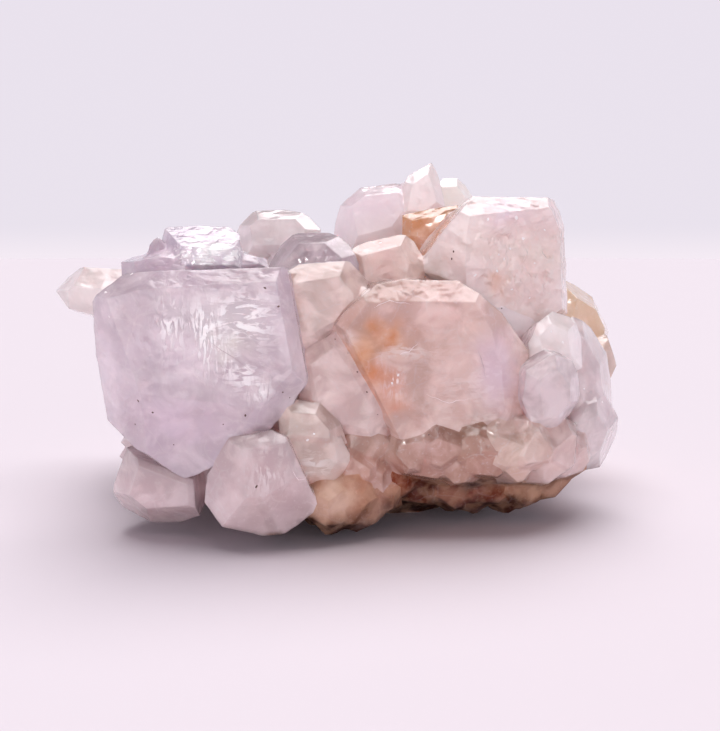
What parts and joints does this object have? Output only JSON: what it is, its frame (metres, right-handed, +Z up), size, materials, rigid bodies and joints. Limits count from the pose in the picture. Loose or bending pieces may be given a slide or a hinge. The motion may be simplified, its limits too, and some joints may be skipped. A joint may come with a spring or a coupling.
{
  "type": "spirit quartz cluster",
  "caption": "Spirit quartz cluster: pale lavender and pink quartz crystals grown together, with small druse below, lying on its broken-off base.",
  "frame": {"origin": "bottom centre of the cluster's box, on the surface that it rests on", "axes": "+X to the cluster's right along its length, +Y to its back, +Z up; the two large crystals face -Y"},
  "size_m": [0.0464, 0.0301, 0.0259],
  "materials": {
    "quartz": "glassy to milky natural crystal faces"
  },
  "bodies": {
    "root": {"quartz_cluster": "quartz"}
  },
  "joints": []
}
